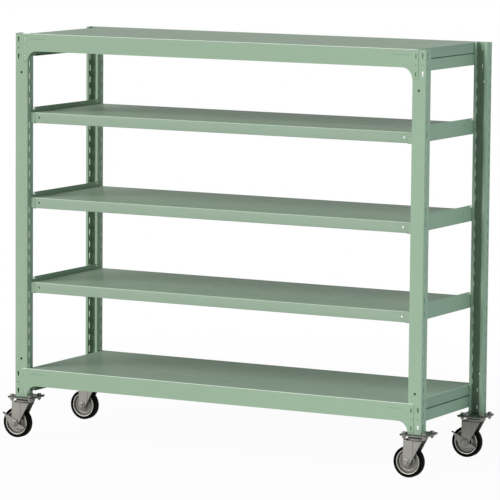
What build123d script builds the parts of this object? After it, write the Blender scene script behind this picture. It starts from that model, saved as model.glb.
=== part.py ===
from build123d import *
from math import pi
import os

# Mobile shelving: a slotted steel rack with five boards on four swivel casters, in millimetres.
# X runs along the boards, Y from the front to the rear, Z up from the floor.
# The origin is on the floor, under the middle of the whole object with its wheels at rest.
os.makedirs("parts", exist_ok=True)

# Rack
rack_width = 1860.0
rack_depth = 606.0
post_height = 1500.0

# Fits
cut_overrun = 1.0
seat_gap = 0.3
running_gap = 0.05

# Post section, and the slots in its side walls
post_face = 59.0
post_wall = 45.0
post_lip = 15.0
post_sheet = 2.0
post_bend = 3.0
slot_width = 7.0
slot_height = 27.0
slot_pitch = 50.0
slot_end = 25.0
slot_from_face = 15.0

# Openings in the post's face, counted from each end of the post
hook_row_end = 25.0
hook_row_gap = 70.0
hook_column_offset = 14.0
hook_slot_width = 6.0
hook_slot_height = 20.0
keyhole_top = 9.0
keyhole_bottom = 4.5
keyhole_height = 21.0

# Beams
beam_sheet = 2.0
beam_height = 71.6
beam_depth = 26.0
beam_over_hook = 25.0
beam_end_gap = 2.0
beam_edge_round = 1.4
gusset_radius = 42.0
gusset_overlap = 26.0
groove_length = 70.0
groove_height = 4.0
groove_depth = 1.0
groove_drop = 23.0
groove_inset = 12.0
hook_width = 4.0
hook_shank_height = 12.0
hook_nose_thickness = 3.0
hook_nose_drop = 4.0

# Boards
board_sheet = 1.5
board_lip = 12.0
end_board_skirt = 40.0
end_board_inset = 30.0
notch_gap = 2.0
middle_board_skirt = 43.5
middle_board_recess = 22.0
middle_board_shares = (0.31, 0.54, 0.78)
board_over_slot = 2.0
rib_width = 60.0
rib_flange = 14.0
rib_depth = 20.0
rib_end_gap = 12.0

# Side rails
rail_height = 46.0
rail_depth = 24.0
rail_sheet = 2.0
rail_inset = 16.0
rail_row_end = 63.5

# Brackets under the middle boards
bracket_sheet = 1.6
bracket_rise = 20.0
bracket_ledge = 25.0
bracket_tab = 22.0
bracket_tab_drop = 1.0
bracket_tab_bevel = 7.0
bracket_ear_height = 25.0
bracket_hook_width = 4.5
bracket_hook_height = 21.0
bracket_hook_drop = 6.0

# Feet
foot_plate_width = 115.0
foot_plate_depth = 115.0
foot_plate_shift = 5.0
foot_plate_thickness = 3.5
foot_set_back = 12.0
wing_thickness = 3.0
wing_width = 20.0
wing_height = 60.0

# Casters
wheel_radius = 62.5
tyre_width = 32.0
hub_radius = 50.0
hub_flat = 8.6
hub_width = 28.0
caster_trail = 37.0
caster_plate_thickness = 4.0
race_height = 17.0
race_radius = 40.0
kingpin_radius = 6.0
kingpin_hex = 18.0
kingpin_nut_height = 8.0
fork_height = 90.0
fork_sheet = 3.0
fork_crown = 4.0
fork_width = 52.0
fork_nose_width = 47.0
fork_crease = 10.0
fork_front = 29.0
fork_end = 15.0
fork_end_bevel = 8.0
fork_waist_ahead = 19.5
fork_waist_rise = 2.0
axle_radius = 5.0
axle_hex = 17.0
axle_head_height = 5.0
axle_cap_radius = 16.0
axle_cap_side = 6.0
axle_cap_height = 5.0

# Brake lever, measured from the axle: its outline ahead of and above the axle, in shares of its reach
lever_thickness = 2.5
lever_reach = 58.0
lever_shares = (
    (-0.84, 0.52),
    (-0.8, 0.64),
    (-0.1, 0.32),
    (0.28, 0.0),
    (0.82, -0.25),
    (0.8, -0.36),
    (-0.1, -0.38),
    (-0.38, -0.27),
    (-0.5, -0.02),
)
pedal_back = 46.0
pedal_rise = 34.5
pedal_length = 14.0
pedal_slope = 25.0
pedal_width = 12.0

# Heights from the floor
axle_z = wheel_radius
crown_z = axle_z + fork_height
caster_plate_z = crown_z + race_height
foot_plate_z = caster_plate_z + caster_plate_thickness
post_z = foot_plate_z + foot_plate_thickness

# The wheels trail to the left, so the rack stands a little right of the origin
rack_x = (caster_trail + wheel_radius - foot_plate_width / 2) / 2
half_width = rack_width / 2
half_depth = rack_depth / 2
post_x = half_width - post_face / 2
post_y = half_depth - post_wall / 2
inner_x = half_width - post_face
slot_y = half_depth - slot_from_face
slot_count = int((post_height - 2 * slot_end) / slot_pitch + 0.5) + 1
hub_flats = int(2 * pi * hub_radius / hub_flat)
axle_cap_sides = int(2 * pi * axle_cap_radius / axle_cap_side)
hook_x = post_x - hook_column_offset
hook_rows = (hook_row_end, hook_row_end + hook_row_gap)
caster_y = post_y - foot_set_back
plate_y = caster_y - foot_plate_shift
top_beam_z = post_z + post_height - hook_row_end + beam_over_hook
bottom_beam_z = post_z + hook_row_end + hook_row_gap + beam_over_hook
top_rail_z = post_z + post_height - rail_row_end
bottom_rail_z = post_z + rail_row_end

sides = {"left": -1, "right": 1}
ends = {"front": -1, "rear": 1}
corners = {f"{end}_{side}": (sides[side], ends[end]) for end in ends for side in sides}
braked_corners = ("front_left", "rear_right")
levels = {
    level: post_z + slot_end + int(share * slot_count) * slot_pitch + board_over_slot
    for level, share in zip(("lower", "centre", "upper"), middle_board_shares)
}
caster_places = [(side * post_x, end * caster_y) for side, end in corners.values()]
plate_places = [(side * post_x, end * plate_y) for side, end in corners.values()]


# Three planes on the rack's middle: seen from the front, seen from the right and seen from above
def front_plane(y=0):
    return Plane((rack_x, y, 0), x_dir=(1, 0, 0), z_dir=(0, -1, 0))


def side_plane(x=0):
    return Plane((rack_x + x, 0, 0), x_dir=(0, 1, 0), z_dir=(1, 0, 0))


def level_plane(z):
    return Plane((rack_x, 0, z), x_dir=(1, 0, 0), z_dir=(0, 0, 1))


# Post: a C channel of folded sheet that opens towards the middle of the rack
def make_post(corner, side, end):
    x = side * post_x
    y = end * post_y
    with BuildPart() as post:
        with BuildSketch(level_plane(post_z)):
            with Locations((x, y)):
                outline = Rectangle(post_face, post_wall)
                fillet(outline.vertices().group_by(Axis.Y)[-1 if end > 0 else 0], radius=post_bend)
                Rectangle(post_face - 2 * post_sheet, post_wall - 2 * post_sheet, mode=Mode.SUBTRACT)
            with Locations((x, y - end * post_wall / 2)):
                Rectangle(post_face - 2 * post_lip, 2 * post_sheet + cut_overrun, mode=Mode.SUBTRACT)
        extrude(amount=post_height)

        # A row of slots through both side walls
        with BuildSketch(side_plane(x)):
            with Locations((end * slot_y, post_z + slot_end + slot_pitch * (slot_count - 1) / 2)):
                with GridLocations(slot_pitch, slot_pitch, 1, slot_count):
                    Rectangle(slot_width, slot_height)
        extrude(amount=post_face, both=True, mode=Mode.SUBTRACT)

        # Slots for the beams' hooks, with keyholes beside them, at both ends of the face
        with BuildSketch(front_plane(end * half_depth)):
            for row in hook_rows:
                for z in (post_z + row, post_z + post_height - row):
                    with Locations((side * hook_x, z)):
                        Rectangle(hook_slot_width, hook_slot_height)
                    with Locations((x + side * hook_column_offset, z)):
                        Polygon(
                            (-keyhole_top / 2, keyhole_height / 2),
                            (keyhole_top / 2, keyhole_height / 2),
                            (keyhole_bottom / 2, -keyhole_height / 2),
                            (-keyhole_bottom / 2, -keyhole_height / 2),
                        )
        extrude(amount=post_sheet + cut_overrun, both=True, mode=Mode.SUBTRACT)
    post.part.label = f"post_{corner}"
    export_step(post.part, f"parts/post_{corner}.step")


# Beam: a face sheet with a rounded gusset at each end, and a closed box behind it.
# The top of the box is the ledge that the board's skirt stands on.
def make_beam(name, end, top):
    gusset_x = inner_x + gusset_overlap
    gusset_z = top - beam_height - gusset_radius
    arc_x = inner_x - gusset_radius
    box_height = beam_height - end_board_skirt
    box_y = half_depth + beam_sheet - beam_depth / 2
    groove_x = inner_x - groove_inset - groove_length / 2
    nose_front = half_depth - post_sheet - seat_gap
    nose_back = nose_front - hook_nose_thickness
    with BuildPart() as beam:
        with BuildSketch(front_plane(end * half_depth)):
            with BuildLine():
                Polyline(
                    (inner_x, gusset_z),
                    (gusset_x, gusset_z),
                    (gusset_x, top),
                    (-gusset_x, top),
                    (-gusset_x, gusset_z),
                    (-inner_x, gusset_z),
                )
                CenterArc((-arc_x, gusset_z), gusset_radius, 90, 90)
                Line((-arc_x, gusset_z + gusset_radius), (arc_x, gusset_z + gusset_radius))
                CenterArc((arc_x, gusset_z), gusset_radius, 0, 90)
            make_face()
        extrude(amount=-end * beam_sheet)
        top_edges = beam.edges().filter_by(Axis.X).group_by(Axis.Z)[-1]
        fillet(top_edges.sort_by(Axis.Y)[0 if end < 0 else -1], radius=beam_edge_round)

        with BuildSketch(side_plane()):
            with Locations((end * box_y, top - beam_height + box_height / 2)):
                Rectangle(beam_depth, box_height)
                Rectangle(beam_depth - 2 * beam_sheet, box_height - 2 * beam_sheet, mode=Mode.SUBTRACT)
        extrude(amount=inner_x - beam_end_gap, both=True)

        # A pressed groove near each end of the face
        with BuildSketch(front_plane(end * (half_depth + beam_sheet - groove_depth))):
            with Locations((-groove_x, top - groove_drop), (groove_x, top - groove_drop)):
                Rectangle(groove_length, groove_height)
        extrude(amount=-end * (groove_depth + cut_overrun), mode=Mode.SUBTRACT)

        # Two hooks at each end, through the post's face and down behind it
        for side in sides.values():
            with BuildSketch(side_plane(side * hook_x)):
                for row in (beam_over_hook, beam_over_hook + hook_row_gap):
                    shank_z = top - row - hook_slot_height / 2 + seat_gap
                    Polygon(
                        (end * half_depth, shank_z),
                        (end * nose_front, shank_z),
                        (end * nose_front, shank_z - hook_nose_drop),
                        (end * nose_back, shank_z - hook_nose_drop),
                        (end * nose_back, shank_z + hook_shank_height),
                        (end * half_depth, shank_z + hook_shank_height),
                        align=None,
                    )
            extrude(amount=hook_width / 2, both=True)
    beam.part.label = name
    export_step(beam.part, f"parts/{name}.step")


# Top and bottom boards: notched round the posts. The front and rear skirts stand on the beams'
# ledges and the side skirts on the side rails.
def make_end_board(name, top, rail_z):
    half_x = half_width - end_board_inset
    half_y = half_depth - seat_gap
    notch_x = inner_x - notch_gap
    notch_y = half_depth - post_wall - notch_gap
    side_skirt = top - rail_z - rail_height / 2 - seat_gap
    with BuildPart() as board:
        with BuildSketch(level_plane(top)):
            Rectangle(2 * half_x, 2 * notch_y)
            Rectangle(2 * notch_x, 2 * half_y)
        extrude(amount=-board_sheet)
        with BuildSketch(side_plane()):
            Polygon(*skirt_outline(half_y, top, end_board_skirt), align=None)
            mirror(about=Plane.YZ)
        extrude(amount=notch_x, both=True)
        with BuildSketch(front_plane()):
            Polygon(*skirt_outline(half_x, top, side_skirt), align=None)
            mirror(about=Plane.YZ)
        extrude(amount=notch_y, both=True)
    board.part.label = name
    export_step(board.part, f"parts/{name}.step")


# Section of a skirt that hangs from a board's edge, with its lip folded in
def skirt_outline(edge, top, skirt):
    return (
        (edge, top),
        (edge, top - skirt),
        (edge - board_lip, top - skirt),
        (edge - board_lip, top - skirt + board_sheet),
        (edge - board_sheet, top - skirt + board_sheet),
        (edge - board_sheet, top),
    )


# Middle board: a plain tray turned upside down, with a lip folded in along its lower edge
def make_middle_board(name, top):
    length = 2 * (inner_x - bracket_sheet - seat_gap)
    depth = rack_depth - 2 * middle_board_recess
    with BuildPart() as board:
        with BuildSketch(level_plane(top)):
            Rectangle(length, depth)
        extrude(amount=-middle_board_skirt)
        offset(amount=-board_sheet, openings=board.faces().sort_by(Axis.Z)[0])
        with BuildSketch(level_plane(top - middle_board_skirt)):
            Rectangle(length, depth)
            Rectangle(length - 2 * board_lip, depth - 2 * board_lip, mode=Mode.SUBTRACT)
        extrude(amount=board_sheet)
    board.part.label = name
    export_step(board.part, f"parts/{name}.step")


# Rib: a hat section along the middle of a board's underside
def make_rib(name, top):
    half_length = inner_x - bracket_sheet - seat_gap - board_lip - rib_end_gap
    half_hat = rib_width / 2
    with BuildPart() as rib:
        with BuildSketch(side_plane()):
            with Locations((0, top - board_sheet)):
                Polygon(
                    (half_hat + rib_flange, 0),
                    (half_hat + rib_flange, -board_sheet),
                    (half_hat, -board_sheet),
                    (half_hat, -rib_depth),
                    (-half_hat, -rib_depth),
                    (-half_hat, -board_sheet),
                    (-half_hat - rib_flange, -board_sheet),
                    (-half_hat - rib_flange, 0),
                    (-half_hat + board_sheet, 0),
                    (-half_hat + board_sheet, -rib_depth + board_sheet),
                    (half_hat - board_sheet, -rib_depth + board_sheet),
                    (half_hat - board_sheet, 0),
                    align=None,
                )
        extrude(amount=half_length, both=True)
    rib.part.label = name
    export_step(rib.part, f"parts/{name}.step")


# Side rail: a channel with closed ends, which ties a front post to a rear post
def make_side_rail(name, side, middle):
    half_length = half_depth - post_sheet - seat_gap
    x = side * (half_width - rail_inset - rail_depth / 2)
    with BuildPart() as rail:
        with BuildSketch(front_plane()):
            with Locations((x, middle)):
                Rectangle(rail_depth, rail_height)
            with Locations((x - side * rail_sheet, middle)):
                Rectangle(rail_depth, rail_height - 2 * rail_sheet, mode=Mode.SUBTRACT)
        extrude(amount=half_length, both=True)
        for end in ends.values():
            with BuildSketch(front_plane(end * half_length)):
                with Locations((x, middle)):
                    Rectangle(rail_depth, rail_height)
            extrude(amount=end * rail_sheet)
    rail.part.label = name
    export_step(rail.part, f"parts/{name}.step")


# Side bracket: a web across the side of the rack, with a ledge under the board, a tab round each
# of the board's corners, and an ear with a hook in a slot of each post
def make_bracket(name, side, board_top):
    web_x = side * inner_x
    bottom = board_top - middle_board_skirt - bracket_sheet
    tab_y = half_depth - middle_board_recess + seat_gap
    web_y = tab_y + bracket_sheet
    lip_y = half_depth - post_wall - notch_gap
    ear_y = slot_y + slot_width / 2 - seat_gap
    slot_z = board_top - board_over_slot
    hook_z = slot_z - slot_height / 2 + seat_gap
    nose_x = post_sheet + seat_gap
    with BuildPart() as bracket:
        with BuildSketch(side_plane(web_x)):
            with Locations((0, (board_top + bottom) / 2)):
                Rectangle(2 * web_y, board_top - bottom)
            with Locations((0, board_top + bracket_rise / 2)):
                Rectangle(2 * lip_y, bracket_rise)
            with Locations((0, slot_z)):
                Rectangle(2 * ear_y, bracket_ear_height)
        extrude(amount=-side * bracket_sheet)
        with BuildSketch(level_plane(bottom)):
            with Locations((web_x - side * bracket_ledge / 2, 0)):
                Rectangle(bracket_ledge, 2 * web_y)
        extrude(amount=bracket_sheet)
        for end in ends.values():
            with BuildSketch(front_plane(end * tab_y)) as tab:
                with Locations((web_x - side * bracket_tab / 2, (board_top - bracket_tab_drop + bottom) / 2)):
                    Rectangle(bracket_tab, board_top - bracket_tab_drop - bottom)
                corner = tab.vertices().group_by(Axis.Y)[0].sort_by(Axis.X)[-1 if side > 0 else 0]
                chamfer(corner, length=bracket_tab_bevel)
            extrude(amount=-end * bracket_sheet)
            with BuildSketch(side_plane(web_x)):
                with Locations((end * slot_y, hook_z + bracket_hook_height / 2)):
                    Rectangle(bracket_hook_width, bracket_hook_height)
            extrude(amount=side * nose_x)
            with BuildSketch(side_plane(web_x + side * nose_x)):
                with Locations((end * slot_y, hook_z + (bracket_hook_height - bracket_hook_drop) / 2)):
                    Rectangle(bracket_hook_width, bracket_hook_height + bracket_hook_drop)
            extrude(amount=side * bracket_sheet)
    bracket.part.label = name
    export_step(bracket.part, f"parts/{name}.step")


# Foot plate: stands under a post, with two wings up inside the post's side walls
def make_foot_plate(corner, side, end):
    wing_x = post_face / 2 - post_sheet - seat_gap - wing_thickness / 2
    wing_y = half_depth - post_wall + post_sheet + seat_gap + wing_width / 2
    with BuildPart() as plate:
        with BuildSketch(level_plane(foot_plate_z)):
            with Locations((side * post_x, end * plate_y)):
                Rectangle(foot_plate_width, foot_plate_depth)
        extrude(amount=foot_plate_thickness)
        with BuildSketch(level_plane(post_z)):
            with Locations((side * post_x - wing_x, end * wing_y), (side * post_x + wing_x, end * wing_y)):
                Rectangle(wing_thickness, wing_width)
        extrude(amount=wing_height)
    plate.part.label = f"foot_plate_{corner}"
    export_step(plate.part, f"parts/foot_plate_{corner}.step")


# Caster plates: one under each foot plate, with its swivel race and the kingpin riveted in it.
# The kingpin carries the fork's crown on its nut.
def make_caster_plates():
    nut_z = crown_z - fork_crown - seat_gap
    with BuildPart() as plates:
        with BuildSketch(level_plane(caster_plate_z)):
            with Locations(*plate_places):
                Rectangle(foot_plate_width, foot_plate_depth)
        extrude(amount=caster_plate_thickness)
        with BuildSketch(level_plane(crown_z + seat_gap)):
            with Locations(*caster_places):
                Circle(race_radius)
        extrude(amount=race_height - seat_gap)
        with BuildSketch(level_plane(nut_z)):
            with Locations(*caster_places):
                Circle(kingpin_radius)
        extrude(amount=crown_z + seat_gap - nut_z)
        with BuildSketch(level_plane(nut_z)):
            with Locations(*caster_places):
                RegularPolygon(kingpin_hex / 2, 6, major_radius=False)
        extrude(amount=-kingpin_nut_height)
    plates.part.label = "caster_plates"
    export_step(plates.part, "parts/caster_plates.step")


# Fork: pressed from one sheet, an upside-down U whose legs lean in ahead of a crease. Its axle is
# riveted through the legs, and is longer where it also carries a brake lever.
def make_fork(corner, side, end):
    x = side * post_x
    y = end * caster_y
    rear = -caster_trail - fork_end
    bottom = axle_z - fork_end
    lean = (fork_width - fork_nose_width) / 2 / (fork_front + fork_crease)
    inside = fork_width / 2 - fork_sheet
    nose_inside = fork_nose_width / 2 - fork_sheet - lean * cut_overrun
    axle_x = x - caster_trail
    lever_room = lever_thickness + 2 * seat_gap if corner in braked_corners else 0
    with BuildPart() as fork:
        with BuildSketch(level_plane(bottom)):
            with Locations((x, y)):
                Polygon(
                    (rear, fork_width / 2),
                    (-fork_crease, fork_width / 2),
                    (fork_front, fork_nose_width / 2),
                    (fork_front, -fork_nose_width / 2),
                    (-fork_crease, -fork_width / 2),
                    (rear, -fork_width / 2),
                    align=None,
                )
        extrude(amount=crown_z - bottom)
        with BuildSketch(level_plane(bottom - cut_overrun)):
            with Locations((x, y)):
                Polygon(
                    (rear - cut_overrun, inside),
                    (-fork_crease, inside),
                    (fork_front + cut_overrun, nose_inside),
                    (fork_front + cut_overrun, -nose_inside),
                    (-fork_crease, -inside),
                    (rear - cut_overrun, -inside),
                    align=None,
                )
        extrude(amount=crown_z - fork_crown - bottom + cut_overrun, mode=Mode.SUBTRACT)

        # Outline of the legs, which narrow towards the axle
        with BuildSketch(front_plane(y)):
            Polygon(
                (x + rear, axle_z - fork_end + fork_end_bevel),
                (x + rear, crown_z),
                (x + fork_front, crown_z),
                (axle_x + fork_waist_ahead, axle_z + fork_waist_rise),
                (axle_x + fork_end, axle_z - fork_end + fork_end_bevel),
                (axle_x + fork_end - fork_end_bevel, bottom),
                (x + rear + fork_end_bevel, bottom),
                align=None,
            )
        extrude(amount=fork_width, both=True, mode=Mode.INTERSECT)
        with BuildSketch(level_plane(crown_z)):
            with Locations((x, y)):
                Circle(kingpin_radius + running_gap)
        extrude(amount=fork_crown + cut_overrun, both=True, mode=Mode.SUBTRACT)

        # Axle, with a cap and its head on the front leg and its nut on the rear one
        with BuildSketch(front_plane(y + inside)):
            with Locations((axle_x, axle_z)):
                Circle(axle_radius)
        extrude(amount=inside + fork_width / 2 + lever_room)
        with BuildSketch(front_plane(y - fork_width / 2 - lever_room)):
            with Locations((axle_x, axle_z)):
                RegularPolygon(axle_cap_radius, axle_cap_sides)
        extrude(amount=axle_cap_height)
        with BuildSketch(front_plane(y - fork_width / 2 - lever_room - axle_cap_height)):
            with Locations((axle_x, axle_z)):
                RegularPolygon(axle_hex / 2, 6, major_radius=False)
        extrude(amount=axle_head_height)
        with BuildSketch(front_plane(y + fork_width / 2)):
            with Locations((axle_x, axle_z)):
                RegularPolygon(axle_hex / 2, 6, major_radius=False)
        extrude(amount=-axle_head_height)
    fork.part.label = f"fork_{corner}"
    export_step(fork.part, f"parts/fork_{corner}.step")


# Wheel: a hub that runs on the axle, with a solid tyre keyed on the flats round its edge
def make_wheel(corner, side, end):
    axle_place = (side * post_x - caster_trail, axle_z)
    with BuildPart() as hub:
        with BuildSketch(front_plane(end * caster_y)):
            with Locations(axle_place):
                RegularPolygon(hub_radius, hub_flats)
                Circle(axle_radius + running_gap, mode=Mode.SUBTRACT)
        extrude(amount=hub_width / 2, both=True)
    hub.part.label = f"hub_{corner}"
    export_step(hub.part, f"parts/hub_{corner}.step")

    with BuildPart() as tyre:
        with BuildSketch(front_plane(end * caster_y)):
            with Locations(axle_place):
                Circle(wheel_radius)
                RegularPolygon(hub_radius + running_gap, hub_flats, mode=Mode.SUBTRACT)
        extrude(amount=tyre_width / 2, both=True)
    tyre.part.label = f"tyre_{corner}"
    export_step(tyre.part, f"parts/tyre_{corner}.step")


# Brake lever: a plate outside the front leg, with a pedal bent in beside the tyre
def make_brake_lever(corner, side, end):
    x = side * post_x - caster_trail
    outside = end * caster_y - fork_width / 2 - seat_gap - lever_thickness
    pedal_x = x - pedal_back
    pedal_z = axle_z + pedal_rise
    with BuildPart() as lever:
        with BuildSketch(front_plane(outside)):
            with Locations((x, axle_z)):
                Polygon(*[(ahead * lever_reach, up * lever_reach) for ahead, up in lever_shares], align=None)
        extrude(amount=-lever_thickness)
        with BuildSketch(front_plane(outside)):
            with Locations((pedal_x, pedal_z)):
                Rectangle(
                    pedal_length,
                    lever_thickness,
                    rotation=-pedal_slope,
                    align=(Align.MAX, Align.CENTER),
                )
        extrude(amount=-pedal_width)
        with BuildSketch(front_plane(outside)):
            with Locations((x, axle_z)):
                Circle(axle_radius + running_gap)
        extrude(amount=lever_thickness + cut_overrun, both=True, mode=Mode.SUBTRACT)
    lever.part.label = f"brake_lever_{corner}"
    export_step(lever.part, f"parts/brake_lever_{corner}.step")


for corner, (side, end) in corners.items():
    make_post(corner, side, end)
    make_foot_plate(corner, side, end)
    make_fork(corner, side, end)
    make_wheel(corner, side, end)
    if corner in braked_corners:
        make_brake_lever(corner, side, end)
for name, end in ends.items():
    make_beam(f"top_{name}_beam", end, top_beam_z)
    make_beam(f"bottom_{name}_beam", end, bottom_beam_z)
for name, side in sides.items():
    make_side_rail(f"top_{name}_rail", side, top_rail_z)
    make_side_rail(f"bottom_{name}_rail", side, bottom_rail_z)
    for level, board_top in levels.items():
        make_bracket(f"{level}_{name}_bracket", side, board_top)
make_end_board("top_board", top_beam_z, top_rail_z)
make_end_board("bottom_board", bottom_beam_z, bottom_rail_z)
make_rib("top_board_rib", top_beam_z)
make_rib("bottom_board_rib", bottom_beam_z)
for level, board_top in levels.items():
    make_middle_board(f"{level}_board", board_top)
    make_rib(f"{level}_board_rib", board_top)
make_caster_plates()
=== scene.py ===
import math
import bmesh
import bpy
from mathutils import Matrix, Vector
from mathutils.geometry import tessellate_polygon


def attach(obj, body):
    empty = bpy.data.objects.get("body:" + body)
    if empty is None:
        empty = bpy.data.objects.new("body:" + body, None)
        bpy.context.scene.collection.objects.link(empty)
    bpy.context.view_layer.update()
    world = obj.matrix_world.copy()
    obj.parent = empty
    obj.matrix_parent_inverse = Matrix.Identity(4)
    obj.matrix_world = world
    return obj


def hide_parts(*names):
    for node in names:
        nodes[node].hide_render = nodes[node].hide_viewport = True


# Mobile shelving: a grey-green steel rack with five boards on four swivel casters, in metres.
# X runs along the boards, Y from the front to the rear and Z up from the floor. The rack's middle is
# at rack_x, because the wheels trail to the left and the origin is under the middle of the whole.
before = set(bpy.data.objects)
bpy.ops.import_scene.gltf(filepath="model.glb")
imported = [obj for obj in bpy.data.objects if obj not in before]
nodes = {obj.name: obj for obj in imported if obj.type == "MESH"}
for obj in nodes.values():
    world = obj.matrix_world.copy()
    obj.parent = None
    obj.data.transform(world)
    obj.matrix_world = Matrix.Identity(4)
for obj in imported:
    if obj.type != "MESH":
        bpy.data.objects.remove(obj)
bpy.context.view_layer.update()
rack_x = 0.021
sides = {"left": -1, "right": 1}
ends = {"front": -1, "rear": 1}
corners = {f"{end}_{side}": (sides[side], ends[end]) for end in ends for side in sides}


# Posts: four C channels, each folded from one 2 mm steel strip and painted grey-green. A row of
# slots at 50 mm in both side walls takes the brackets' hooks, and the openings at both ends of the
# face take the beams' hooks.
post_face = 0.059
post_wall = 0.045
post_lip = 0.012
post_sheet = 0.002
post_fold = 0.002
post_bottom = 0.177
post_top = 1.677
post_x = 0.9005
post_front = 0.303
slot_rows = 30
slot_pitch = 0.050
slot_end = 0.025
slot_from_face = 0.015
slot_width, slot_height, slot_corner = 0.0055, 0.027, 0.0026
hook_rows = (0.025, 0.095)
hook_column = 0.014
window_width, window_height, window_corner = 0.006, 0.020, 0.0012
key_half_head, key_half_foot, key_half_height, key_corner = 0.0045, 0.00225, 0.0105, 0.0011
pin_row = 0.060
pin_hole_radius = 0.0027
round_hole_row = 0.159
round_hole_radius = 0.005


def clouded(name, dark, light, smooth, rough, cloud, grain, bump):
    """A material that drifts from dark to light and from smooth to rough in soft clouds. cloud and
    grain are noises as (scale, detail), and bump is the (strength, distance) of the grain's relief,
    or of the clouds' where there is no grain."""
    material = bpy.data.materials.new(name)
    material.use_nodes = True
    tree = material.node_tree
    shader = tree.nodes["Principled BSDF"]
    place = tree.nodes.new("ShaderNodeTexCoord")

    def noise(scale, detail):
        node = tree.nodes.new("ShaderNodeTexNoise")
        node.inputs["Scale"].default_value = scale
        node.inputs["Detail"].default_value = detail
        tree.links.new(place.outputs["Object"], node.inputs["Vector"])
        return node.outputs["Fac"]

    clouds = noise(*cloud)
    tint = tree.nodes.new("ShaderNodeMix")
    tint.data_type = "RGBA"
    tint.inputs[6].default_value = (*dark, 1)
    tint.inputs[7].default_value = (*light, 1)
    tree.links.new(clouds, tint.inputs[0])
    tree.links.new(tint.outputs[2], shader.inputs["Base Color"])
    if smooth < rough:
        gloss = tree.nodes.new("ShaderNodeMapRange")
        gloss.inputs["To Min"].default_value = smooth
        gloss.inputs["To Max"].default_value = rough
        tree.links.new(clouds, gloss.inputs["Value"])
        tree.links.new(gloss.outputs["Result"], shader.inputs["Roughness"])
    else:
        shader.inputs["Roughness"].default_value = rough
    strength, distance = bump
    relief = tree.nodes.new("ShaderNodeBump")
    relief.inputs["Strength"].default_value = strength
    relief.inputs["Distance"].default_value = distance
    tree.links.new(noise(*grain) if grain else clouds, relief.inputs["Height"])
    tree.links.new(relief.outputs["Normal"], shader.inputs["Normal"])
    return material, shader


def paint(name, colour, roughness, peel, gloss_level):
    """Baked enamel: a little thicker and darker in places, with the fine waves of sprayed paint."""
    dark = [c * 0.955 for c in colour]
    light = [c * 1.045 for c in colour]
    material, shader = clouded(name, dark, light, roughness * 0.85, roughness * 1.15,
                               cloud=(2.3, 4.0), grain=(420.0, 1.0), bump=(peel, 0.0002))
    shader.inputs["Specular IOR Level"].default_value = gloss_level
    return material


frame_paint = paint("frame enamel", (0.342, 0.470, 0.346), 0.42, 0.10, 0.08)


def rounded(points, radius, steps=3):
    """The outline with its corners rounded. A radius may be given for each corner."""
    radii = radius if isinstance(radius, (list, tuple)) else [radius] * len(points)
    outline = []
    for i, point in enumerate(points):
        here, before, after = Vector(point), Vector(points[i - 1]), Vector(points[(i + 1) % len(points)])
        if radii[i] <= 0:
            outline.append(here)
            continue
        back, on = (before - here).normalized(), (after - here).normalized()
        half = back.angle(on) / 2
        centre = here + (back + on).normalized() * radii[i] / math.sin(half)
        start = here + back * radii[i] / math.tan(half)
        stop = here + on * radii[i] / math.tan(half)
        turn = (start - centre).angle_signed(stop - centre)
        for step in range(steps + 1):
            spoke = (start - centre).copy()
            spoke.rotate(Matrix.Rotation(-turn * step / steps, 2))
            outline.append(centre + spoke)
    return outline


def rectangle(centre, width, height, radius=0.0):
    x, y = centre
    w, h = width / 2, height / 2
    points = [(x - w, y - h), (x + w, y - h), (x + w, y + h), (x - w, y + h)]
    return rounded(points, radius)


def circle(centre, radius, steps=20):
    turn = [2 * math.pi * i / steps for i in range(steps)]
    return [Vector((centre[0] + radius * math.cos(a), centre[1] + radius * math.sin(a))) for a in turn]


def flat(mesh, outline, openings, place):
    """A flat stretch of sheet with openings in it. place turns its 2-D points into 3-D ones."""
    loops = [[Vector((p[0], p[1], 0)) for p in loop] for loop in (outline, *openings)]
    points = [mesh.verts.new(place(p.x, p.y)) for loop in loops for p in loop]
    for triangle in tessellate_polygon(loops):
        mesh.faces.new([points[i] for i in triangle])


def folded(mesh, section, radius, low, high, place, outlines=None, openings=None, steps=5):
    """A sheet folded along its length. section runs through the middle of the sheet, place turns
    (across, across, along) into a 3-D point, and outlines and openings are given for each flat
    stretch as (distance from the stretch's start, along)."""
    points = [Vector(p) for p in section]
    last = len(points) - 1
    trims = [0.0] * len(points)
    for i in range(1, last):
        turn = (points[i] - points[i - 1]).angle(points[i + 1] - points[i])
        trims[i] = radius * math.tan(turn / 2)
    for i in range(last):
        way = (points[i + 1] - points[i]).normalized()
        start = points[i]
        near, far = trims[i], (points[i + 1] - points[i]).length - trims[i + 1]
        outline = (outlines or {}).get(i) or [(near, low), (far, low), (far, high), (near, high)]

        def on_sheet(s, t, start=start, way=way):
            spot = start + way * s
            return place(spot.x, spot.y, t)

        flat(mesh, outline, (openings or {}).get(i, ()), on_sheet)
        if i + 1 == last:
            continue
        after = (points[i + 2] - points[i + 1]).normalized()
        first = points[i + 1] - way * trims[i + 1]
        bend = way.angle_signed(after)
        side = 1 if bend < 0 else -1
        centre = first + Vector((-way.y, way.x)) * radius * side
        rows = []
        for step in range(steps + 1):
            spoke = first - centre
            spoke.rotate(Matrix.Rotation(-bend * step / steps, 2))
            spot = centre + spoke
            rows.append([mesh.verts.new(place(spot.x, spot.y, t)) for t in (low, high)])
        for one, two in zip(rows, rows[1:]):
            mesh.faces.new((one[0], two[0], two[1], one[1]))


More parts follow.
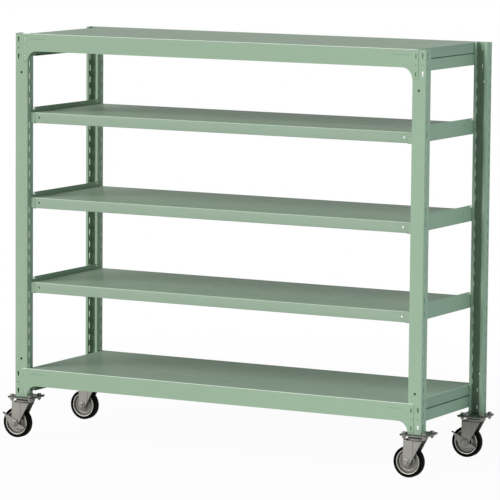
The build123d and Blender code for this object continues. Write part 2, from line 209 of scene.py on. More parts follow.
def piece(name, mesh, material, body, sheet=0.0, edge=0.0003, crease=30.0, folds=None):
    """Turns the built mesh into a piece. sheet gives it that thickness, half to each side, edge
    rounds its rims, and folds is the paler paint of a painted highlight on its upper fold's
    upward-sloping faces, and the height that it starts at."""
    bmesh.ops.remove_doubles(mesh, verts=mesh.verts, dist=1e-6)
    bmesh.ops.recalc_face_normals(mesh, faces=mesh.faces)
    data = bpy.data.meshes.new(name)
    mesh.to_mesh(data)
    mesh.free()
    data.shade_smooth()
    data.set_sharp_from_angle(angle=math.radians(crease))
    data.materials.append(material)
    if folds:
        fold_highlight_paint, fold_height = folds
        data.materials.append(fold_highlight_paint)
        # Upward-sloping faces above fold_height take the paler paint: a painted highlight where the fold
        # catches light from above.
        for face in data.polygons:
            slopes_up = 0.05 < face.normal.z < 0.995
            if slopes_up and face.center.z > fold_height:
                face.material_index = 1
    thing = bpy.data.objects.new(name, data)
    bpy.context.scene.collection.objects.link(thing)
    if sheet:
        thick = thing.modifiers.new("sheet", "SOLIDIFY")
        thick.thickness = sheet
        thick.offset = 0.0
    if edge:
        rim = thing.modifiers.new("rim", "BEVEL")
        rim.width = edge
        rim.segments = 2
        rim.limit_method = "ANGLE"
        rim.angle_limit = math.radians(50)
        rim.harden_normals = True
    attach(thing, body)
    return thing


for corner, (side, end) in corners.items():
    half = (post_face - post_sheet) / 2
    front = post_front - post_sheet / 2
    back = post_front - post_wall + post_sheet / 2
    tip = half - post_lip + post_sheet / 2
    section = [(-tip, back), (-half, back), (-half, front), (half, front), (half, back), (tip, back)]
    slot_middle = post_front - slot_from_face
    slots_left = []
    slots_right = []
    for row in range(slot_rows):
        z = post_bottom + slot_end + slot_pitch * row
        slots_left.append(rectangle((slot_middle - back, z), slot_width, slot_height, slot_corner))
        slots_right.append(rectangle((front - slot_middle, z), slot_width, slot_height, slot_corner))
    face = []
    for z, up in ((post_bottom, 1), (post_top, -1)):
        for row in hook_rows:
            level = z + up * row
            inner = (half - side * hook_column, level)
            face.append(rectangle(inner, window_width, window_height, window_corner))
            key = [(-key_half_head, key_half_height), (-key_half_foot, -key_half_height),
                   (key_half_foot, -key_half_height), (key_half_head, key_half_height)]
            outer = [(half + side * hook_column + x, level + h) for x, h in key]
            face.append(rounded(outer, key_corner))
        for across in (-hook_column, hook_column):
            face.append(circle((half + across, z + up * pin_row), pin_hole_radius, 12))
        face.append(circle((half, z + up * round_hole_row), round_hole_radius))
    post = bmesh.new()
    folded(
        post, section, post_fold, post_bottom, post_top,
        lambda x, y, z, side=side, end=end: Vector((rack_x + side * post_x + x, end * y, z)),
        openings={1: slots_left, 2: face, 3: slots_right},
    )
    channel = piece(f"folded_post_{corner}", post, frame_paint, "rack", sheet=post_sheet)
    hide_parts(f"post_{corner}")


# Beams: one folded sheet each, along the top and the bottom of the front and the rear. The face
# widens into a rounded gusset that hooks into each post, its top edge is rolled, and the sheet
# behind it is folded into a box that the board's skirt stands on.
beam_top = {"top": 1.677, "bottom": 0.297}
beam_sheet = 0.002
beam_half_sheet = beam_sheet / 2
beam_face = 0.304
beam_roll = 0.3029
beam_fold = 0.001
face_start = 0.0011
fold_band = 0.005
beam_height = 0.0716
gusset_height = 0.1136
gusset_reach = 0.897
gusset_radius = 0.042
beam_inner = 0.871
beam_window_drop = 0.0005
beam_window = (0.016, 0.005, 0.0008)
beam_pin_hole_radius = 0.0022
groove_row = 0.022
groove_start = 0.789
groove_width, groove_length, groove_corner = 0.004, 0.070, 0.0019
groove_steps = ((0.0, 0.0), (0.0007, 0.0012), (0.0014, 0.0018))
box_front, box_back = 0.3025, 0.280
box_drop = 0.041
box_fold = 0.002
box_reach = 0.869
hook_sheet = 0.0015
hook_half_width = {"front": 0.0020, "rear": 0.0030}
hook_profile = {
    "front": ((0.3031, 0.002), (0.3007, 0.002), (0.2992, -0.006), (0.2992, -0.0135)),
    "rear": ((0.3031, 0.0085), (0.2988, 0.0070), (0.2983, -0.0135)),
}
# The much paler paint on the upward-sloping faces of the beam's top fold is a painted highlight: the rolled
# edge catching light from above.
beam_fold_highlight_paint = paint("painted highlight on the beams' folds", (0.82, 0.92, 0.82), 0.28, 0.02, 0.10)
for level, top in beam_top.items():
    for end_name, end in ends.items():
        name = f"{level}_{end_name}_beam"
        start = top - beam_half_sheet
        foot = gusset_height - beam_half_sheet
        drop = beam_height - beam_half_sheet
        outline = [(face_start, -gusset_reach), (face_start, gusset_reach)]
        for at in (1, -1):
            run = [(foot, at * gusset_reach)]
            for step in range(11):
                turn = math.pi / 2 * step / 10
                run.append((
                    foot - gusset_radius * math.sin(turn),
                    at * (beam_inner - gusset_radius + gusset_radius * math.cos(turn)),
                ))
            outline += run if at > 0 else run[::-1]
        windows = []
        grooves = []
        for at in (-1, 1):
            column = at * (post_x - hook_column)
            for row in hook_rows:
                windows.append(rectangle((row + beam_window_drop, column), *beam_window))
            if end < 0:
                windows.append(circle((pin_row, column), beam_pin_hole_radius, 12))
            grooves.append((groove_row, at * (groove_start + groove_length / 2)))
            windows.append(rectangle(grooves[-1], groove_width, groove_length, groove_corner))
        beam = bmesh.new()
        place = lambda y, z, x, end=end: Vector((rack_x + x, end * y, z))
        section = [(beam_roll, start), (beam_face, start), (beam_face, top - gusset_height)]
        folded(beam, section, beam_fold, -gusset_reach, gusset_reach, place,
               outlines={1: outline}, openings={1: windows})
        for middle in grooves:
            loops = []
            for inset, depth in groove_steps:
                width, length = groove_width - 2 * inset, groove_length - 2 * inset
                rim = rectangle(middle, width, length, groove_corner - inset)
                loops.append([beam.verts.new(place(beam_face - depth, start - p.x, p.y)) for p in rim])
            for outer, inner in zip(loops, loops[1:]):
                for i in range(len(outer)):
                    j = (i + 1) % len(outer)
                    beam.faces.new((outer[i], outer[j], inner[j], inner[i]))
            beam.faces.new(loops[-1])
        face = piece(f"folded_{name}", beam, frame_paint, "rack", sheet=beam_sheet, edge=0.0004,
                     folds=(beam_fold_highlight_paint, top - fold_band))
        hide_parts(name)
        box = bmesh.new()
        section = [(box_front, top - box_drop), (box_back, top - box_drop),
                   (box_back, top - drop), (box_front, top - drop)]
        folded(box, section, box_fold, -box_reach, box_reach, place)
        ledge = piece(f"ledge_{name}", box, frame_paint, "rack", sheet=beam_sheet)
        hooks = bmesh.new()
        half = hook_half_width[end_name]
        for at in (-1, 1):
            x = at * (post_x - hook_column)
            for row in hook_rows:
                strip = [
                    [hooks.verts.new(place(y, top - row + rise, x + across)) for across in (-half, half)]
                    for y, rise in hook_profile[end_name]
                ]
                for one, two in zip(strip, strip[1:]):
                    hooks.faces.new((one[0], two[0], two[1], one[1]))
        hook = piece(f"hooks_{name}", hooks, frame_paint, "rack", sheet=hook_sheet)


# Boards: the top and bottom ones are sheets that lie between the posts, with a skirt along each side
# and a lip folded in under it. All the boards have a glossier coat than the frame.
board_paint = paint("board enamel", (0.345, 0.455, 0.350), 0.28, 0.02, 0.0012)
# The paler paint on the upward-sloping faces of the folds round each board's top is a painted highlight
# along its edges.
board_fold_highlight_paint = paint("painted highlight on the boards' folds", (0.52, 0.64, 0.52), 0.28, 0.02, 0.10)
board_sheet = 0.0015
board_half_sheet = board_sheet / 2
board_fold = 0.0015
end_board_tops = {"top_board": 1.677, "bottom_board": 0.297}
end_board_half = 0.8703
end_board_depth = 0.3027
end_board_skirt = 0.040
side_skirt = 0.0435
hem = 0.008
lip = 0.012
for name, top in end_board_tops.items():
    board = bmesh.new()
    z = top - board_half_sheet
    middle_half = end_board_half - hem
    middle_depth = end_board_depth - hem
    flat(board, rectangle((0, 0), 2 * middle_half, 2 * middle_depth), (),
         lambda x, y, z=z: Vector((rack_x + x, y, z)))
    for end in (-1, 1):
        edge = end_board_depth - board_half_sheet
        low = top - end_board_skirt + board_half_sheet
        section = [(middle_depth, z), (edge, z), (edge, low), (edge - lip, low)]
        folded(board, section, board_fold, -end_board_half, end_board_half,
               lambda y, z, x, end=end: Vector((rack_x + x, end * y, z)))
    for side in (-1, 1):
        edge = end_board_half - board_half_sheet
        low = top - side_skirt + board_half_sheet
        section = [(middle_half, z), (edge, z), (edge, low), (edge - lip, low)]
        reach = middle_depth - lip
        folded(board, section, board_fold, -middle_depth, middle_depth,
               lambda x, z, y, side=side: Vector((rack_x + side * x, y, z)),
               outlines={2: [(board_fold, -reach), (lip, -reach), (lip, reach), (board_fold, reach)]})
    sheet = piece(f"folded_{name}", board, board_paint, "rack", sheet=board_sheet,
                  folds=(board_fold_highlight_paint, top - fold_band))
    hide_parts(name)


# Middle boards: shallow trays turned upside down, with closed corners, a lip under the skirts and
# a round hole near each end of the front and rear skirts. They hang in the brackets.
middle_tops = {"upper": 1.354, "centre": 1.004, "lower": 0.654}
middle_half_x = 0.8691
middle_half_y = 0.281
middle_skirt = 0.0435
middle_fold = 0.002
middle_corner, least_corner = 0.0045, 0.0008
skirt_hole_x = 0.829
skirt_hole_drop = 0.021
skirt_hole_radius = 0.004
for level, top in middle_tops.items():
    board = bmesh.new()
    half = board_half_sheet
    low = top - middle_skirt + half
    rings = []
    for step in range(6):
        turn = math.pi / 2 * step / 5
        rings.append((half + middle_fold * (1 - math.sin(turn)),
                      top - half - middle_fold * (1 - math.cos(turn))))
    skirt_row = len(rings) - 1
    rings.append((half, low + middle_fold))
    for step in range(1, 5):
        turn = math.pi / 2 * step / 4
        rings.append((half + middle_fold * (1 - math.cos(turn)), low + middle_fold * (1 - math.sin(turn))))
    rings.append((lip, low))
    loops = []
    for inset, z in rings:
        outline = rectangle((0, 0), 2 * (middle_half_x - inset), 2 * (middle_half_y - inset),
                            max(middle_corner - inset, least_corner))
        loops.append([board.verts.new((rack_x + p.x, p.y, z)) for p in outline])
    board.faces.new(loops[0])
    for row, (upper, lower) in enumerate(zip(loops, loops[1:])):
        for i in range(len(upper)):
            j = (i + 1) % len(upper)
            a, b, c, d = upper[i], upper[j], lower[j], lower[i]
            if row == skirt_row and abs(a.co.x - b.co.x) > middle_half_x:
                left, right = sorted((a.co.x, b.co.x))
                outline = [(left, d.co.z), (right, d.co.z), (right, a.co.z), (left, a.co.z)]
                holes = [circle((rack_x + at * skirt_hole_x, top - skirt_hole_drop), skirt_hole_radius)
                         for at in (-1, 1)]
                flat(board, outline, holes, lambda x, z, y=a.co.y: Vector((x, y, z)))
            else:
                board.faces.new((a, b, c, d))
    name = f"{level}_board"
    tray = piece(f"folded_{name}", board, board_paint, "rack", sheet=board_sheet,
                 folds=(board_fold_highlight_paint, top - fold_band))
    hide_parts(name)


# Ribs: a hat section of the same painted sheet, spot-welded along the underside of each board to
# stiffen it. The CAD's own meshes are shown, in the boards' paint.
for name in ("top", "upper", "centre", "lower", "bottom"):
    coats = nodes[f"{name}_board_rib"].data.materials
    coats.clear()
    coats.append(board_paint)


# Side rails: channels folded from 2 mm painted sheet, with closed ends, that lie beside the posts
# under the side skirts of the top and bottom boards and tie the front beams to the rear ones.
rail_sheet = 0.002
rail_fold = 0.002
rail_middle = {"top": 1.6080, "bottom": 0.2265}
rail_half_height = 0.022
rail_inner, rail_outer = 0.847, 0.870
rail_end = 0.2785
end_plate_x = 0.858
end_plate = (0.020, 0.040, 0.001)
for level, middle in rail_middle.items():
    high, low = middle + rail_half_height, middle - rail_half_height
    for side_name, side in sides.items():
        rail = bmesh.new()
        section = [(rail_inner, high), (rail_outer, high), (rail_outer, low), (rail_inner, low)]
        folded(rail, section, rail_fold, -rail_end, rail_end,
               lambda x, z, y, side=side: Vector((rack_x + side * x, y, z)))
        for end in (-1, 1):
            flat(rail, rectangle((end_plate_x, middle), *end_plate), (),
                 lambda x, z, side=side, end=end: Vector((rack_x + side * x, end * rail_end, z)))
        name = f"{level}_{side_name}_rail"
        channel = piece(f"folded_{name}", rail, frame_paint, "rack", sheet=rail_sheet)
        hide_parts(name)


# Brackets: a pressed plate across each side under every middle board, with a ledge folded in, a
# small ear at each end that hooks into the post's slots, and a tab round each corner of the board.
# Heights are measured from the board's top.
bracket_sheet = 0.0016
bracket_fold = 0.002
bracket_rise = 0.020
bracket_ledge = 0.846
bracket_reach = 0.2829
ear_reach = 0.2912
ear_low, ear_high = -0.0145, 0.0105
shoulder_reach = 0.256
bracket_corners = [0, 0.001, 0.002, 0.002, 0.001, 0.004]
bolt_hole = (0.013, 0.249, 0.00375, 18)
pin_hole = (-0.0345, 0.247, 0.002, 12)
oval_hole = (-0.004, 0.182)
oval_size = (0.006, 0.009, 0.0029)
tab_inner, tab_outer = 0.8490, 0.8694
tab_y = 0.2821
tab_gap = 0.001
tab_corners = [0.007, 0.0005, 0.0005, 0.002]
slot_hook_near, slot_hook_far = 0.2857, 0.2903
slot_hook_reach = 0.0031
slot_hook_levels = (-0.0152, 0.0058)
for level, top in middle_tops.items():
    for side_name, side in sides.items():
        bracket = bmesh.new()
        web = beam_inner - bracket_sheet / 2
        low = top - middle_skirt - bracket_sheet / 2
        high = top + bracket_rise
        ear_foot, ear_head = top + ear_low - low, top + ear_high - low
        half_shape = [
            (bracket_fold, bracket_reach), (ear_foot, bracket_reach), (ear_foot, ear_reach),
            (ear_head, ear_reach), (ear_head, shoulder_reach), (high - low, shoulder_reach),
        ]
        shape = rounded(half_shape + [(z, -y) for z, y in reversed(half_shape)],
                        bracket_corners + bracket_corners[::-1])
        holes = []
        for end in (-1, 1):
            for rise, y, radius, steps in (bolt_hole, pin_hole):
                holes.append(circle((top + rise - low, end * y), radius, steps))
            rise, y = oval_hole
            holes.append(rectangle((top + rise - low, end * y), *oval_size))
        place = lambda x, z, y, side=side: Vector((rack_x + side * x, y, z))
        folded(bracket, [(bracket_ledge, low), (web, low), (web, high)], bracket_fold,
               -bracket_reach, bracket_reach, place, outlines={1: shape}, openings={1: holes})
        name = f"{level}_{side_name}_bracket"
        plate = piece(f"folded_{name}", bracket, frame_paint, "rack", sheet=bracket_sheet)
        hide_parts(name)
        tabs = bmesh.new()
        for end in (-1, 1):
            tab = rounded([(tab_inner, low), (tab_outer, low), (tab_outer, top - tab_gap),
                           (tab_inner, top - tab_gap)], tab_corners)
            flat(tabs, tab, (), lambda x, z, end=end: place(x, z, end * tab_y))
            tip = beam_inner + slot_hook_reach
            hook = [(web, slot_hook_near), (web, slot_hook_far),
                    (tip, slot_hook_far), (tip, slot_hook_near)]
            for rise in slot_hook_levels:
                flat(tabs, hook, (), lambda x, y, end=end, z=top + rise: place(x, z, end * y))
        tab = piece(f"tabs_{name}", tabs, frame_paint, "rack", sheet=bracket_sheet)


# Foot plates: a flame-cut plate under each post, welded to two wings that stand up inside the
# post's side walls, and drilled for the four bolts that hold the caster.
caster_y = 0.2685
foot_bottom = 0.1735
foot_thickness = 0.0035
plate_size = (0.115, 0.115)
plate_shift = 0.005
foot_corner = 0.006
bolt_places = [(x, y) for x in (-0.043, 0.043) for y in (-0.037, 0.037)]
bolt_hole_radius = 0.0043
wing_sheet = 0.003
wing_x = 0.0257
wing_front, wing_back = 0.2803, 0.2603
wing_bottom, wing_top = 0.177, 0.237
wing_corner = 0.006
# The plates and wings are painted near-black, much darker than the frame's grey-green enamel: painted shade
# under the posts.
shaded_plate_paint = paint("foot plate enamel darkened as painted shade", (0.065, 0.085, 0.070), 0.45, 0.15, 0.20)
for corner, (side, end) in corners.items():
    name = f"foot_plate_{corner}"
    post_middle = rack_x + side * post_x
    centre = Vector((post_middle, end * caster_y, foot_bottom + foot_thickness / 2))
    plate = bmesh.new()
    flat(plate, rectangle((0, -end * plate_shift), *plate_size, foot_corner),
         [circle(place, bolt_hole_radius) for place in bolt_places],
         lambda x, y, centre=centre: centre + Vector((x, y, 0)))
    foot = piece(f"cut_{name}", plate, shaded_plate_paint, "rack", sheet=foot_thickness, edge=0.0006)
    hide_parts(name)
    wings = bmesh.new()
    for at in (-1, 1):
        wing = rounded([(wing_back, wing_bottom), (wing_front, wing_bottom), (wing_front, wing_top),
                        (wing_back, wing_top)], [0, 0, wing_corner, wing_corner])
        flat(wings, wing, (),
             lambda y, z, x=post_middle + at * wing_x, end=end: Vector((x, end * y, z)))
    wing = piece(f"wings_{name}", wings, shaded_plate_paint, "rack", sheet=wing_sheet, edge=0.0005)


# Caster plates: pressed zinc-plated steel, each bolted under its foot plate at the four corners,
# with the ball race of its swivel under it and the riveted kingpin through the middle.
def zinc(name, colour, roughness, marks):
    """Zinc plating: matt grey metal with cloudy patches and the fine marks of the press."""
    dark = [c * 0.80 for c in colour]
    light = [c * 1.15 for c in colour]
    material, shader = clouded(name, dark, light, roughness * 0.8, roughness * 1.25,
                               cloud=(38.0, 6.0), grain=(900.0, 2.0), bump=(marks, 0.0001))
    shader.inputs["Metallic"].default_value = 0.75
    return material


caster_zinc = zinc("caster zinc", (0.24, 0.235, 0.215), 0.50, 0.15)
# Near-black steel for the race ring and the brake pedals: painted shade in the gap between the plate and
# the fork, and on the pedals' shaded underside.
shade_dark_steel = zinc("race and pedal steel darkened as painted shade", (0.030, 0.034, 0.030), 0.45, 0.20)


def turned(mesh, profile, place, steps=64):
    """A turned form: profile is (radius, height) pairs, closed on the axis where the radius is 0."""
    rows = []
    for radius, height in profile:
        if radius < 1e-6:
            rows.append([mesh.verts.new(place(0, 0, height))])
        else:
            rows.append([
                mesh.verts.new(place(radius * math.cos(2 * math.pi * i / steps),
                                     radius * math.sin(2 * math.pi * i / steps), height))
                for i in range(steps)
            ])
    for one, two in zip(rows, rows[1:]):
        for i in range(steps):
            j = (i + 1) % steps
            if len(one) == 1 and len(two) > 1:
                mesh.faces.new((one[0], two[i], two[j]))
            elif len(two) == 1 and len(one) > 1:
                mesh.faces.new((one[i], two[0], one[j]))
            elif len(one) > 1:
                mesh.faces.new((one[i], two[i], two[j], one[j]))


def hexagon(mesh, across, low, high, dome, place):
    """A bolt head or nut: six flats, with the corners turned off at its outer end. dome is the
    radius of the bolt's rounded tip beyond it, or 0."""
    corner = across / 2 / math.cos(math.pi / 6)
    up = 1 if high > low else -1
    rows = []
    for radius, height in ((corner, low), (corner, high - up * 0.0012), (across / 2 * 0.97, high)):
        around = [(radius * math.cos(a), radius * math.sin(a)) for a in [math.pi / 3 * i for i in range(6)]]
        rows.append([mesh.verts.new(place(x, y, height)) for x, y in around])
    for one, two in zip(rows, rows[1:]):
        for i in range(6):
            mesh.faces.new((one[i], one[(i + 1) % 6], two[(i + 1) % 6], two[i]))
    mesh.faces.new(rows[0])
    mesh.faces.new(rows[-1])
    if dome:
        tip = [(dome, -0.0005), (dome, 0.0016), (dome * 0.6, 0.0028), (0, 0.0030)]
        turned(mesh, [(radius, high + up * rise) for radius, rise in tip], place, 20)


caster_plate_middle = 0.1715
caster_plate_sheet = 0.0038
caster_plate_corner = 0.010
race_ring = [(0.030, 0.1697), (0.038, 0.1697), (0.0400, 0.1680), (0.0400, 0.1635), (0.0385, 0.1615),
             (0.030, 0.1615)]
race_cup = [(0.030, 0.1617), (0.0375, 0.1617), (0.0388, 0.1600), (0.0388, 0.1550), (0.0370, 0.1528),
            (0.012, 0.1528)]
kingpin_shank = [(0.006, 0.172), (0.006, 0.147)]
kingpin_across, kingpin_high, kingpin_low, kingpin_dome = 0.018, 0.1482, 0.1402, 0.0055
washer = [(0.0041, 0.1771), (0.0100, 0.1771), (0.0100, 0.1787), (0.0041, 0.1787)]
bolt_shank = [(0.0041, 0.1780), (0.0041, 0.1568), (0.0032, 0.1560), (0, 0.1560)]
bolt_across = 0.016
bolt_head = (0.1787, 0.1853, 0)
bolt_nut = (0.1695, 0.1614, 0.0040)
for corner, (side, end) in corners.items():
    centre = Vector((rack_x + side * post_x, end * caster_y, 0))
    upright = lambda x, y, z, centre=centre: centre + Vector((x, y, z))
    plate = bmesh.new()
    flat(plate, rectangle((0, -end * plate_shift), *plate_size, caster_plate_corner),
         [circle(place, bolt_hole_radius) for place in bolt_places],
         lambda x, y: upright(x, y, caster_plate_middle))
    race = bmesh.new()
    turned(race, race_ring, upright)
    lower = bmesh.new()
    turned(lower, race_cup, upright)
    pin = bmesh.new()
    turned(pin, kingpin_shank, upright, 32)
    hexagon(pin, kingpin_across, kingpin_high, kingpin_low, kingpin_dome, upright)
    bolts = bmesh.new()
    for x, y in bolt_places:
        at = lambda px, py, z, x=x, y=y: upright(x + px, y + py, z)
        turned(bolts, washer, at, 24)
        hexagon(bolts, bolt_across, *bolt_head, at)
        hexagon(bolts, bolt_across, *bolt_nut, at)
        turned(bolts, bolt_shank, at, 20)
    for thing in (
        piece(f"pressed_plate_{corner}", plate, caster_zinc, "rack", sheet=caster_plate_sheet, edge=0.0009),
        # The race ring is painted near-black: painted shade in the gap above the fork.
        piece(f"race_ring_{corner}", race, shade_dark_steel, "rack", edge=0),
        piece(f"race_cup_{corner}", lower, caster_zinc, "rack", edge=0),
        piece(f"riveted_kingpin_{corner}", pin, caster_zinc, "rack"),
    ):
        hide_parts("caster_plates")
    bolt = piece(f"corner_bolts_{corner}", bolts, caster_zinc, "rack", edge=0.0002)


# Forks: each is pressed from one 3 mm sheet, with a flat crown and two legs that lean in ahead of a
# crease. The axle bolt is clamped through the legs, with a spacer tube each side of the wheel.
crown_top = 0.1525
crown_fold = 0.005
fork_sheet = 0.003
fork_half = 0.026
nose_half = 0.0235
nose_x = 0.029
crease_x = -0.010
crease_depth = 0.0011
crease_reach = 0.0022
crease_angle = 9
axle_z = 0.0625
trail = 0.037
leg_foot_radius = 0.015
leg_foot_x, leg_foot_z = -0.0175, 0.0645
leg_head_x, leg_head_z = 0.0275, 0.1485
leg_stations = (-0.0215, -0.0170, crease_x - crease_reach, crease_x, crease_x + crease_reach,
                -0.002, 0.005, 0.012, 0.020, 0.0270)
axle_radius = 0.0050
axle_across = 0.017
axle_head = 0.0048
axle_nut = 0.005
axle_cap = [(0.0158, 0), (0.0160, 0.0010), (0.0155, 0.0026), (0.0138, 0.0041), (0.0105, 0.0049),
            (0.0060, 0.0050)]
spacer = [(0.0052, 0.0142), (0.0085, 0.0142), (0.0085, 0.0229), (0.0052, 0.0229)]
lever_corners = ("front_left", "rear_right")
lever_room = 0.0031


def leg_out(x):
    """How far the middle of a leg's sheet stands from the middle of the fork."""
    lean = max(0.0, (x - crease_x) / (nose_x - crease_x))
    groove = crease_depth * max(0.0, 1 - abs(x - crease_x) / crease_reach)
    return fork_half - (fork_half - nose_half) * lean - groove - fork_sheet / 2


for corner, (side, end) in corners.items():
    centre = Vector((rack_x + side * post_x, end * caster_y, 0))
    stations = [(-trail - leg_foot_radius, axle_z)]
    for step in range(1, 12):
        turn = math.pi * step / 12
        stations.append((-trail - leg_foot_radius * math.cos(turn),
                         axle_z - leg_foot_radius * math.sin(turn)))
    climb = (leg_head_z - leg_foot_z) / (leg_head_x - leg_foot_x)
    stations += [(x, leg_foot_z + climb * (x - leg_foot_x)) for x in leg_stations]
    shell = bmesh.new()
    crown = crown_top - fork_sheet / 2
    rows = []
    for x, low in stations:
        out = leg_out(x)
        row = [(-out, low), (-out, crown - crown_fold)]
        for step in range(1, 7):
            turn = math.pi / 2 * step / 6
            row.append((-out + crown_fold * (1 - math.cos(turn)),
                        crown - crown_fold * (1 - math.sin(turn))))
        row += [(-y, z) for y, z in reversed(row)]
        rows.append([shell.verts.new(centre + Vector((x, y, z))) for y, z in row])
    for one, two in zip(rows, rows[1:]):
        for i in range(len(one) - 1):
            shell.faces.new((one[i], two[i], two[i + 1], one[i + 1]))
    leg = piece(f"pressed_fork_{corner}", shell, caster_zinc, f"{corner}_fork",
                sheet=fork_sheet, edge=0.0006, crease=crease_angle)
    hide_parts(f"fork_{corner}")
    axle = bmesh.new()
    along = lambda a, b, y, centre=centre: centre + Vector((a - trail, y, axle_z + b))
    front = -fork_half - (lever_room if corner in lever_corners else 0.0)
    turned(axle, [(axle_radius, front), (axle_radius, fork_half)], along, 32)
    turned(axle, [(axle_radius, front)] + [(radius, front - out) for radius, out in axle_cap], along, 40)
    cap_end = front - axle_cap[-1][1]
    hexagon(axle, axle_across, cap_end, cap_end - axle_head, 0, along)
    for at in (-1, 1):
        turned(axle, [(radius, at * y) for radius, y in spacer], along, 32)
    hexagon(axle, axle_across, fork_half, fork_half + axle_nut, 0, along)
    bolt = piece(f"axle_bolt_{corner}", axle, caster_zinc, f"{corner}_fork", edge=0.0002)
    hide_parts(f"fork_{corner}")


# Wheels: solid black rubber moulded on a pressed steel hub, with a bright rim, a dished web and a
# plain boss that runs on the axle. The profiles are (radius, distance from the wheel's middle).
half_tyre = [
    (0.0501, 0.0), (0.0501, 0.0134), (0.0511, 0.0147), (0.0530, 0.0155), (0.0560, 0.0160),
    (0.0588, 0.0159), (0.0606, 0.0152), (0.0618, 0.0138), (0.0623, 0.0120), (0.0625, 0.0095),
    (0.0625, 0.0),
]
rim_lip = [
    (0.0500, 0.0080), (0.0500, 0.0133), (0.0494, 0.0139), (0.0482, 0.0140), (0.0472, 0.0137),
    (0.0466, 0.0128), (0.0463, 0.0050),
]
half_hub = [
    (0.0490, 0.0), (0.0490, 0.0035), (0.0460, 0.0040), (0.0440, 0.0042), (0.0428, 0.0050),
    (0.0415, 0.0066), (0.0400, 0.0072), (0.0360, 0.0072), (0.0340, 0.0066), (0.0330, 0.0052),
    (0.0315, 0.0047), (0.0285, 0.0050), (0.0260, 0.0066), (0.0235, 0.0094), (0.0215, 0.0102),
    (0.0190, 0.0100), (0.0170, 0.0088), (0.0150, 0.0085), (0.0132, 0.0096), (0.0124, 0.0130),
    (0.0115, 0.0139), (0.0056, 0.0139), (0.0051, 0.0134), (0.0051, 0.0),
]
wheel_steps = 96
hub_zinc = zinc("hub zinc", (0.19, 0.185, 0.17), 0.45, 0.20)
rim_zinc = zinc("rim zinc", (0.55, 0.54, 0.50), 0.35, 0.10)
rubber, rubber_shader = clouded(
    "black rubber", (0.0015, 0.0015, 0.0016), (0.0050, 0.0048, 0.0045), 0.60, 0.60,
    cloud=(60.0, 5.0), grain=None, bump=(0.25, 0.0002),
)
rubber_shader.inputs["Specular IOR Level"].default_value = 0.02


def mirrored(profile):
    """The profile's other half, from its end back to its first point."""
    return [(radius, -y) for radius, y in reversed(profile[:-1])]


for corner, (side, end) in corners.items():
    centre = Vector((rack_x + side * post_x - trail, end * caster_y, axle_z))
    spin = lambda a, b, y, centre=centre: centre + Vector((a, y, b))
    tyre = bmesh.new()
    turned(tyre, half_tyre[-1:] + mirrored(half_tyre) + half_tyre[1:], spin, wheel_steps)
    tread = piece(f"moulded_tyre_{corner}", tyre, rubber, f"{corner}_wheel", edge=0)
    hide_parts(f"tyre_{corner}")
    for face_name, face in ends.items():
        rim = bmesh.new()
        turned(rim, [(radius, face * y) for radius, y in rim_lip], spin, wheel_steps)
        ring = piece(f"rolled_rim_{face_name}_{corner}", rim, rim_zinc, f"{corner}_wheel", edge=0)
        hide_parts(f"hub_{corner}")
    hub = bmesh.new()
    turned(hub, half_hub + mirrored(half_hub), spin, wheel_steps)
    dish = piece(f"pressed_hub_{corner}", hub, hub_zinc, f"{corner}_wheel", edge=0)
    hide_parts(f"hub_{corner}")


# Brake levers: a plate outside the front leg that tips on the axle, with a foot pedal bent across
# behind the tyre. The plate is zinc-plated like the forks, and the pedal is painted near-black as painted
# shade.
lever_sheet = 0.0025
lever_y = -0.02755
lever_hole_radius = 0.0052
lever_scale = 0.058
lever_outline = ((-0.84, 0.52), (-0.8, 0.64), (-0.1, 0.32), (0.28, 0.0), (0.82, -0.25),
                 (0.8, -0.36), (-0.1, -0.38), (-0.38, -0.27), (-0.5, -0.02))
lever_corner_radii = [0.002, 0.002, 0.012, 0.012, 0.0025, 0.003, 0.010, 0.008, 0.010]
pedal_start = Vector((-0.046, -0.0288, 0.0345))
pedal_slope = math.radians(25)
pedal_width, pedal_length = 0.012, 0.014
pedal_corner_radii = [0, 0.002, 0.004, 0.002]
for corner in lever_corners:
    side, end = corners[corner]
    centre = Vector((rack_x + side * post_x - trail, end * caster_y, axle_z))
    lever = bmesh.new()
    outline = rounded([(a * lever_scale, b * lever_scale) for a, b in lever_outline], lever_corner_radii, 6)
    flat(lever, outline, [circle((0, 0), lever_hole_radius, 24)],
         lambda x, z, centre=centre: centre + Vector((x, lever_y, z)))
    plate = piece(f"cut_lever_{corner}", lever, caster_zinc, f"{corner}_brake",
                  sheet=lever_sheet, edge=0.0004)
    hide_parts(f"brake_lever_{corner}")
    pedal = bmesh.new()
    reach = Vector((-math.cos(pedal_slope), 0, math.sin(pedal_slope)))
    start = centre + pedal_start
    shape = rounded([(0.0, 0.0), (pedal_width, 0.0), (pedal_width, pedal_length), (0.0, pedal_length)],
                    pedal_corner_radii, 4)
    flat(pedal, shape, (), lambda y, s, start=start, reach=reach: start + reach * s + Vector((0, y, 0)))
    tread = piece(f"bent_pedal_{corner}", pedal, shade_dark_steel, f"{corner}_brake",
                  sheet=lever_sheet, edge=0.0004)
    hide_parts(f"brake_lever_{corner}")


# Studio: a white floor that keeps the rack's soft shadow, an even pale surround, one broad lamp
# from the front and a weaker cool one from the right.
floor_size = 70.0
floor_grey = 0.80
fade_near, fade_far = 1.4, 3.5
fade_share = 0.955
surround_colour = (0.97, 0.99, 1.0, 1)
surround_strength = 0.27


def greater(tree, one, two):
    """The greater of two sockets' values."""
    node = tree.nodes.new("ShaderNodeMath")
    node.operation = "MAXIMUM"
    tree.links.new(one, node.inputs[0])
    tree.links.new(two, node.inputs[1])
    return node.outputs[0]


def looking(tree):
    """1 for the rays that see the white itself: from the camera, through glass or in a reflection."""
    ray = tree.nodes.new("ShaderNodeLightPath").outputs
    through = greater(tree, ray["Is Camera Ray"], ray["Is Transmission Ray"])
    return greater(tree, through, ray["Is Glossy Ray"])


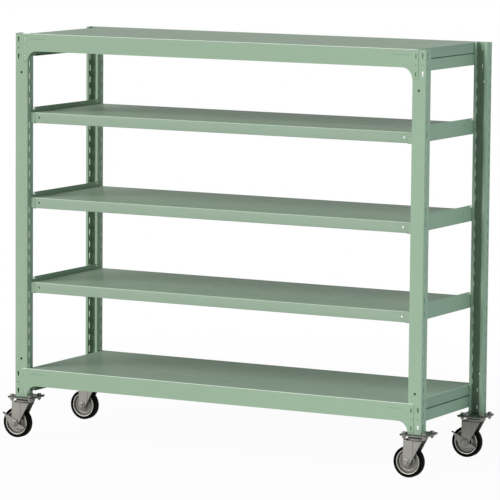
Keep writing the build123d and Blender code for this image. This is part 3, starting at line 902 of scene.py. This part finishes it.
def mixed(tree, share, one, two):
    """Shader one, with shader two in its place to the given share."""
    node = tree.nodes.new("ShaderNodeMixShader")
    tree.links.new(share, node.inputs["Fac"])
    tree.links.new(one.outputs[0], node.inputs[1])
    tree.links.new(two.outputs[0], node.inputs[2])
    return node.outputs[0]


floor_mesh = bmesh.new()
bmesh.ops.create_grid(floor_mesh, x_segments=1, y_segments=1, size=floor_size)
floor_data = bpy.data.meshes.new("floor")
floor_mesh.to_mesh(floor_data)
floor_mesh.free()
floor = bpy.data.objects.new("floor", floor_data)
bpy.context.scene.collection.objects.link(floor)
floor_paint = bpy.data.materials.new("white floor")
floor_paint.use_nodes = True
tree = floor_paint.node_tree
tree.nodes.clear()
out = tree.nodes.new("ShaderNodeOutputMaterial")
matt = tree.nodes.new("ShaderNodeBsdfDiffuse")
matt.inputs["Color"].default_value = (floor_grey, floor_grey, floor_grey, 1)
glow = tree.nodes.new("ShaderNodeEmission")
glow.inputs["Color"].default_value = (1, 1, 1, 1)
spot = tree.nodes.new("ShaderNodeTexCoord")
away = tree.nodes.new("ShaderNodeVectorMath")
away.operation = "LENGTH"
tree.links.new(spot.outputs["Object"], away.inputs[0])
fade = tree.nodes.new("ShaderNodeMapRange")
fade.inputs["From Min"].default_value = fade_near
fade.inputs["From Max"].default_value = fade_far
fade.inputs["To Min"].default_value = fade_share
fade.inputs["To Max"].default_value = 1.0
tree.links.new(away.outputs["Value"], fade.inputs["Value"])
share = tree.nodes.new("ShaderNodeMath")
share.operation = "MULTIPLY"
tree.links.new(looking(tree), share.inputs[0])
tree.links.new(fade.outputs["Result"], share.inputs[1])
tree.links.new(mixed(tree, share.outputs[0], matt, glow), out.inputs["Surface"])
floor_data.materials.append(floor_paint)

world = bpy.data.worlds.new("surround")
bpy.context.scene.world = world
world.use_nodes = True
tree = world.node_tree
tree.nodes.clear()
out = tree.nodes.new("ShaderNodeOutputWorld")
even = tree.nodes.new("ShaderNodeBackground")
even.inputs["Color"].default_value = surround_colour
even.inputs["Strength"].default_value = surround_strength
white = tree.nodes.new("ShaderNodeBackground")
white.inputs["Color"].default_value = (1, 1, 1, 1)
white.inputs["Strength"].default_value = 1.0
tree.links.new(mixed(tree, looking(tree), even, white), out.inputs["Surface"])

front_lamp = bpy.data.lights.new("front lamp", "SUN")
front_lamp.energy = 2.30
front_lamp.color = (1.0, 0.99, 0.97)
front_lamp.angle = math.radians(45)
right_lamp = bpy.data.lights.new("right lamp", "AREA")
right_lamp.energy = 17
right_lamp.color = (0.70, 0.94, 1.0)
right_lamp.shape = "DISK"
right_lamp.size = 2.2
for data, place, towards in (
    (front_lamp, (-2.0, -4.0, 3.0), (-0.42, -0.80, 0.48)),
    (right_lamp, (3.2, -0.7, 1.3), (0.96, -0.27, 0.12)),
):
    lamp = bpy.data.objects.new(data.name, data)
    lamp.location = place
    lamp.rotation_euler = Vector(towards).to_track_quat("Z", "Y").to_euler()
    bpy.context.scene.collection.objects.link(lamp)


# Camera: a long lens from the front right, a little above the top board, as in the photograph. Its
# place and its angles were fitted to the edges in the photograph.
camera_place = (6.9684, -12.8624, 2.5383)
camera_data = bpy.data.cameras.new("camera")
camera_data.sensor_width = 36.0
camera_data.lens = 260.8
camera_data.clip_end = 200.0
camera = bpy.data.objects.new("camera", camera_data)
yaw, pitch, roll = math.radians(28.363), math.radians(-6.73), math.radians(0.48)
ahead = Vector((-math.sin(yaw) * math.cos(pitch), math.cos(yaw) * math.cos(pitch), math.sin(pitch)))
level = Vector((math.cos(yaw), math.sin(yaw), 0))
up = level.cross(ahead)
right = level * math.cos(roll) + up * math.sin(roll)
up = up * math.cos(roll) - level * math.sin(roll)
turn = Matrix((right, up, -ahead)).transposed().to_4x4()
camera.matrix_world = Matrix.Translation(camera_place) @ turn
bpy.context.scene.collection.objects.link(camera)
bpy.context.scene.camera = camera
bpy.context.scene.view_settings.view_transform = "Standard"
